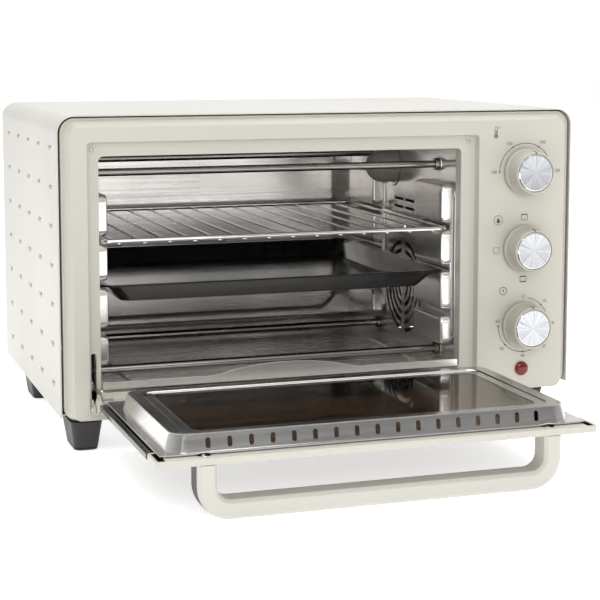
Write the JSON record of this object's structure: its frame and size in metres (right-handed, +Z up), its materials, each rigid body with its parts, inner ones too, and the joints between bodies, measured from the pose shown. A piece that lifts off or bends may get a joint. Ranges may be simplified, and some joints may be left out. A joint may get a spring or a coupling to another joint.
{
  "type": "toaster oven",
  "caption": "Counter-top toaster oven with a drop-down glass door, turning controls, heating elements, fan, lamp, wire rack, baking tray and crumb tray.",
  "frame": {"origin": "centre of the bounding box's base, on the surface that the feet stand on, with the door open", "axes": "+X to the right as the user faces the oven, +Y from the open door towards the back, +Z up"},
  "size_m": [0.452, 0.522, 0.27],
  "materials": {
    "cream_paint": "satin cream powder coat",
    "galvanised": "zinc-coated sheet, dull",
    "cavity_steel": "bright aluminised sheet",
    "bright_steel": "bright drawn steel",
    "door_pan_steel": "polished stainless sheet",
    "rack_chrome": "chromed wire",
    "black_enamel": "gloss black enamel",
    "smoked_glass": "tinted polished glass",
    "clear_glass": "clear glass",
    "black_plastic": "matt moulded",
    "knob_plastic": "fine knurled side",
    "knob_cap": "spun face",
    "switch_board": "moulded phenolic",
    "red_lens": "clear red",
    "lamp_ceramic": "glazed white"
  },
  "bodies": {
    "housing": {"outer_wrap": "cream_paint", "front_panel": "cream_paint", "left_hinge_bracket": "cream_paint", "right_hinge_bracket": "cream_paint", "rear_panel": "galvanised", "base_plate": "galvanised", "left_panel_screw": "galvanised", "right_panel_screw": "galvanised", "heat_shield": "galvanised", "fan_motor": "galvanised", "control_bracket": "galvanised", "cavity_liner": "cavity_steel", "left_liner_wall": "cavity_steel", "right_liner_wall": "cavity_steel", "upper_front_element": "bright_steel", "upper_rear_element": "bright_steel", "lower_front_element": "bright_steel", "lower_rear_element": "bright_steel", "left_hinge_pin": "bright_steel", "right_hinge_pin": "bright_steel", "hinge_spring": "bright_steel", "lamp_glass": "clear_glass", "lamp_bulb": "clear_glass", "front_left_foot": "black_plastic", "rear_left_foot": "black_plastic", "front_right_foot": "black_plastic", "rear_right_foot": "black_plastic", "cord_gland": "black_plastic", "indicator_holder": "black_plastic", "thermostat": "switch_board", "mode_switch": "switch_board", "timer_unit": "switch_board", "indicator_lens": "red_lens", "lamp_socket": "lamp_ceramic"},
    "door": {"door_top_rail": "cream_paint", "door_outer_glass": "smoked_glass", "door_bottom_rail": "cream_paint", "door_inner_pan": "door_pan_steel", "door_inner_glass": "smoked_glass", "door_handle": "cream_paint", "left_handle_insert": "black_plastic", "right_handle_insert": "black_plastic", "left_handle_screw": "bright_steel", "right_handle_screw": "bright_steel", "hinge_arm": "cream_paint"},
    "hinge_link": {"hinge_link": "bright_steel"},
    "temperature_control": {"temperature_knob": "knob_plastic", "temperature_knob_cap": "knob_cap", "temperature_shaft": "bright_steel"},
    "mode_control": {"mode_knob": "knob_plastic", "mode_knob_cap": "knob_cap", "mode_shaft": "bright_steel"},
    "timer_control": {"timer_knob": "knob_plastic", "timer_knob_cap": "knob_cap", "timer_shaft": "bright_steel"},
    "fan": {"fan_rotor": "galvanised"},
    "rack": {"wire_rack": "rack_chrome"},
    "tray": {"baking_tray": "black_enamel"},
    "crumb_tray": {"crumb_tray": "cavity_steel"}
  },
  "joints": [
    {"name": "door_hinge", "type": "hinge", "parent": "housing", "child": "door", "pos_m": [-0.0344, -0.0495, 0.0362], "axis": [1, 0, 0], "range_deg": [-90, 0]},
    {"name": "hinge_link_slide", "type": "slide", "parent": "housing", "child": "hinge_link", "axis": [0, 1, 0], "range_m": [0, 0.02136], "deforming": ["hinge_spring"]},
    {"name": "temperature_turn", "type": "hinge", "parent": "housing", "child": "temperature_control", "pos_m": [0.1792, -0.043, 0.2163], "axis": [0, 1, 0], "range_deg": [0, 225]},
    {"name": "mode_turn", "type": "hinge", "parent": "housing", "child": "mode_control", "pos_m": [0.1792, -0.043, 0.1494], "axis": [0, 1, 0], "range_deg": [0, 270]},
    {"name": "timer_turn", "type": "hinge", "parent": "housing", "child": "timer_control", "pos_m": [0.1792, -0.043, 0.0823], "axis": [0, 1, 0], "range_deg": [0, 300]},
    {"name": "fan_spin", "type": "hinge", "parent": "housing", "child": "fan", "pos_m": [0.129, 0.098, 0.099], "axis": [1, 0, 0], "continuous": true},
    {"name": "rack_slide", "type": "slide", "parent": "housing", "child": "rack", "axis": [0, -1, 0], "range_m": [0, 0.2]},
    {"name": "tray_slide", "type": "slide", "parent": "housing", "child": "tray", "axis": [0, -1, 0], "range_m": [0, 0.2]},
    {"name": "crumb_tray_slide", "type": "slide", "parent": "housing", "child": "crumb_tray", "axis": [0, -1, 0], "range_m": [0, 0.036]}
  ],
  "couplings": [
    {"joint": "hinge_link_slide", "follows": "door_hinge", "m_per_rad": -0.013595}
  ]
}
